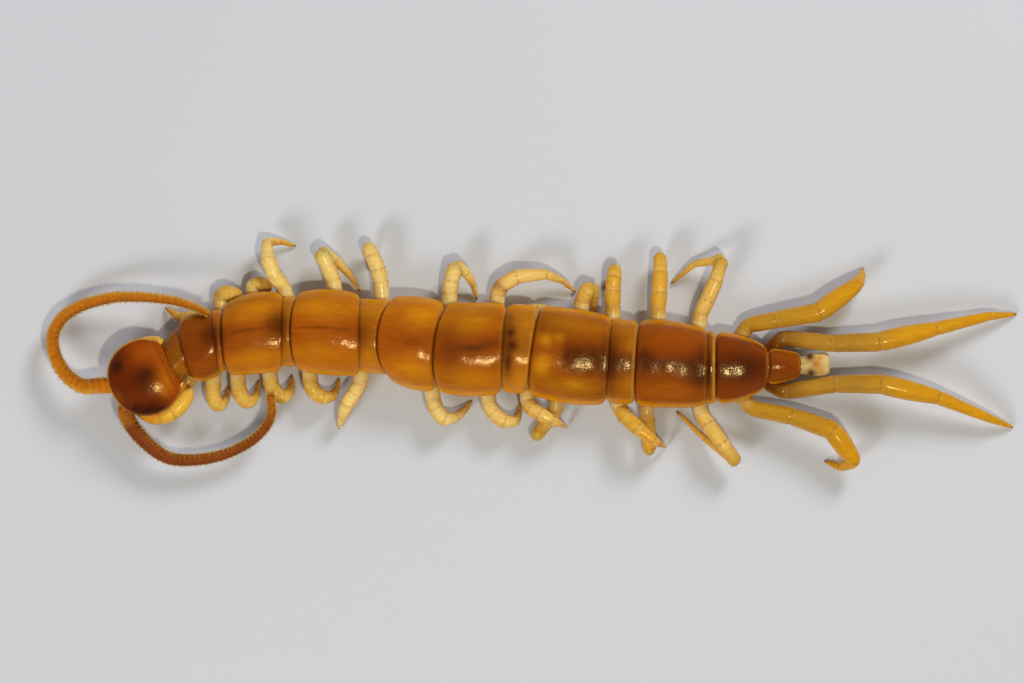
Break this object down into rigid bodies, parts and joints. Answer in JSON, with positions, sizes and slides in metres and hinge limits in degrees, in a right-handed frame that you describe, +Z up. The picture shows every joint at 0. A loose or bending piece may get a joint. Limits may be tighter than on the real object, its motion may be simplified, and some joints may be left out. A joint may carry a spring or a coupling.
{
  "type": "stone centipede",
  "caption": "Life-size stone centipede, lithobius steffeni, lying still with its antennae swept back, most legs folded and the hind legs trailing.",
  "frame": {"origin": "middle of the bounding box, on the surface that the animal rests on", "axes": "+X from head to tail, +Y to the animal's right, +Z up"},
  "size_m": [0.0293, 0.0072, 0.0017],
  "materials": {
    "head_shield": "glossy red-brown chitin, darker in the middle",
    "tergite": "glossy orange-brown chitin plates",
    "poison_claw": "smooth amber chitin",
    "antenna": "ochre, densely and finely haired",
    "leg": "pale straw, slightly translucent",
    "hind_leg": "amber, slightly translucent",
    "terminal": "pale soft skin"
  },
  "bodies": {
    "root": {"antenna_left_1": "antenna", "antenna_left_2": "antenna", "antenna_left_3": "antenna", "antenna_right_1": "antenna", "antenna_right_2": "antenna", "antenna_right_3": "antenna", "head": "head_shield", "leg_left_01": "leg", "leg_left_02": "leg", "leg_left_03": "leg", "leg_left_04": "leg", "leg_left_05": "leg", "leg_left_06": "leg", "leg_left_07": "leg", "leg_left_08": "leg", "leg_left_09": "leg", "leg_left_10": "leg", "leg_left_11": "leg", "leg_left_12": "leg", "leg_left_13": "leg", "leg_left_14": "hind_leg", "leg_left_15": "hind_leg", "leg_right_01": "leg", "leg_right_02": "leg", "leg_right_03": "leg", "leg_right_04": "leg", "leg_right_05": "leg", "leg_right_06": "leg", "leg_right_07": "leg", "leg_right_08": "leg", "leg_right_09": "leg", "leg_right_10": "leg", "leg_right_11": "leg", "leg_right_12": "leg", "leg_right_13": "leg", "leg_right_14": "hind_leg", "leg_right_15": "hind_leg", "poison_claw_left": "poison_claw", "poison_claw_plate": "poison_claw", "poison_claw_right": "poison_claw", "terminal_segment": "terminal", "trunk_01_02": "tergite", "trunk_03_04": "tergite", "trunk_05_06": "tergite", "trunk_07": "tergite", "trunk_08_09": "tergite", "trunk_10_11": "tergite", "trunk_12_13": "tergite", "trunk_14": "tergite", "trunk_15": "tergite"}
  },
  "joints": []
}
